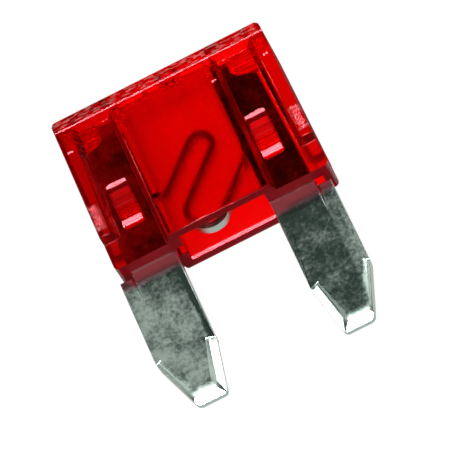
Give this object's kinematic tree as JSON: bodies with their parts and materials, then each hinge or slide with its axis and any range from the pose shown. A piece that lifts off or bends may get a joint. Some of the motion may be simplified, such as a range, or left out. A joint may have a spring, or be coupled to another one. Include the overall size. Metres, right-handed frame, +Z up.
{
  "type": "blade fuse",
  "caption": "Small plug-in blade fuse: stepped translucent moulded housing staked onto a one-piece zinc stamping with two tapered blades, test tabs and an S-shaped link.",
  "frame": {"origin": "On the resting plane, under the middle of the fuse's bounding box.", "axes": "The fuse lies on its back face. X runs across the two blades, Y runs from the blade tips to the head, Z is up through the thickness."},
  "size_m": [0.0111, 0.016, 0.0038],
  "materials": {
    "housing_plastic": "translucent saturated red moulded polycarbonate, polished faces",
    "zinc_alloy": "dull grey zinc alloy sheet, mottled and finely scratched, bright where it is coined"
  },
  "bodies": {
    "root": {"housing": "housing_plastic", "fuse_element": "zinc_alloy"}
  },
  "joints": []
}
